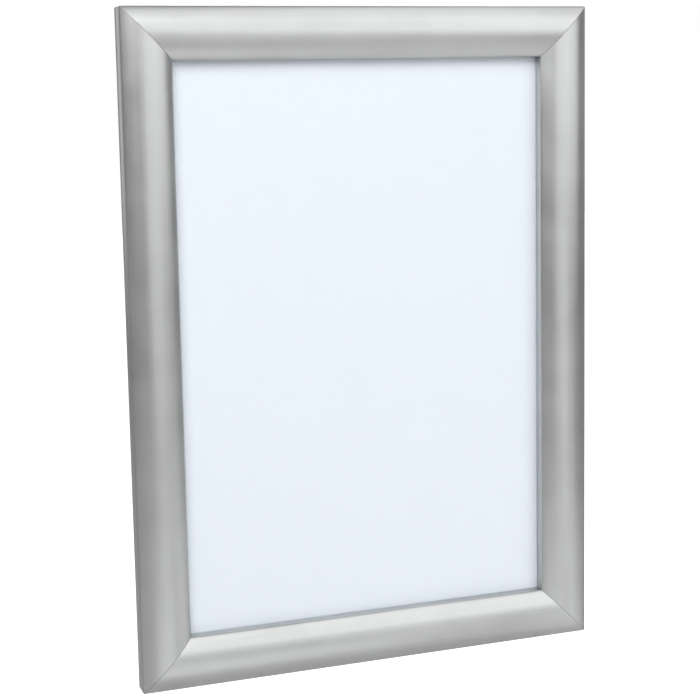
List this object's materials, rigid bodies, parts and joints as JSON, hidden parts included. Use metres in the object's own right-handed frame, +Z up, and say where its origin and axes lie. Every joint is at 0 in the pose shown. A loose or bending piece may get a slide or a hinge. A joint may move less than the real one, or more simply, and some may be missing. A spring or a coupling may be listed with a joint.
{
  "type": "snap poster frame",
  "caption": "Wall-hung mitred aluminium snap frame whose sprung rails hinge open to clamp a poster behind a clear sheet.",
  "frame": {"origin": "middle of the frame's outline on the wall plane, which is the middle of the four screw holes", "axes": "+Z up along the long sides, +X to the right seen from the front, +Y into the wall, so the front faces -Y"},
  "size_m": [0.24, 0.012, 0.327],
  "materials": {
    "rail_aluminium": "fine matt anodised",
    "base_aluminium": "as extruded, anodised",
    "zinc_plated_steel": "bright zinc plate",
    "spring_steel": "tempered, oiled",
    "white_styrene": "smooth matt sheet",
    "poster_paper": "blank coated paper",
    "clear_polyester": "anti-glare"
  },
  "bodies": {
    "root": {"base_top": "base_aluminium", "base_right": "base_aluminium", "base_bottom": "base_aluminium", "base_left": "base_aluminium", "corner_key_top_left": "zinc_plated_steel", "corner_key_top_right": "zinc_plated_steel", "corner_key_bottom_right": "zinc_plated_steel", "corner_key_bottom_left": "zinc_plated_steel", "spring_top_left": "spring_steel", "spring_top_right": "spring_steel", "spring_right_upper": "spring_steel", "spring_right_lower": "spring_steel", "spring_bottom_left": "spring_steel", "spring_bottom_right": "spring_steel", "spring_left_upper": "spring_steel", "spring_left_lower": "spring_steel", "back_panel": "white_styrene", "poster": "poster_paper", "cover_sheet": "clear_polyester"},
    "rail_top": {"rail_top": "rail_aluminium"},
    "rail_right": {"rail_right": "rail_aluminium"},
    "rail_bottom": {"rail_bottom": "rail_aluminium"},
    "rail_left": {"rail_left": "rail_aluminium"}
  },
  "joints": [
    {"name": "rail_top_hinge", "type": "hinge", "parent": "root", "child": "rail_top", "pos_m": [0, -0.0017, 0.1622], "axis": [-1, 0, 0], "range_deg": [0, 90], "deforming": ["spring_top_left", "spring_top_right"]},
    {"name": "rail_right_hinge", "type": "hinge", "parent": "root", "child": "rail_right", "pos_m": [0.1187, -0.0017, 0], "axis": [0, 0, 1], "range_deg": [0, 90], "deforming": ["spring_right_upper", "spring_right_lower"]},
    {"name": "rail_bottom_hinge", "type": "hinge", "parent": "root", "child": "rail_bottom", "pos_m": [0, -0.0017, -0.1622], "axis": [1, 0, 0], "range_deg": [0, 90], "deforming": ["spring_bottom_left", "spring_bottom_right"]},
    {"name": "rail_left_hinge", "type": "hinge", "parent": "root", "child": "rail_left", "pos_m": [-0.1187, -0.0017, 0], "axis": [0, 0, -1], "range_deg": [0, 90], "deforming": ["spring_left_upper", "spring_left_lower"]}
  ]
}
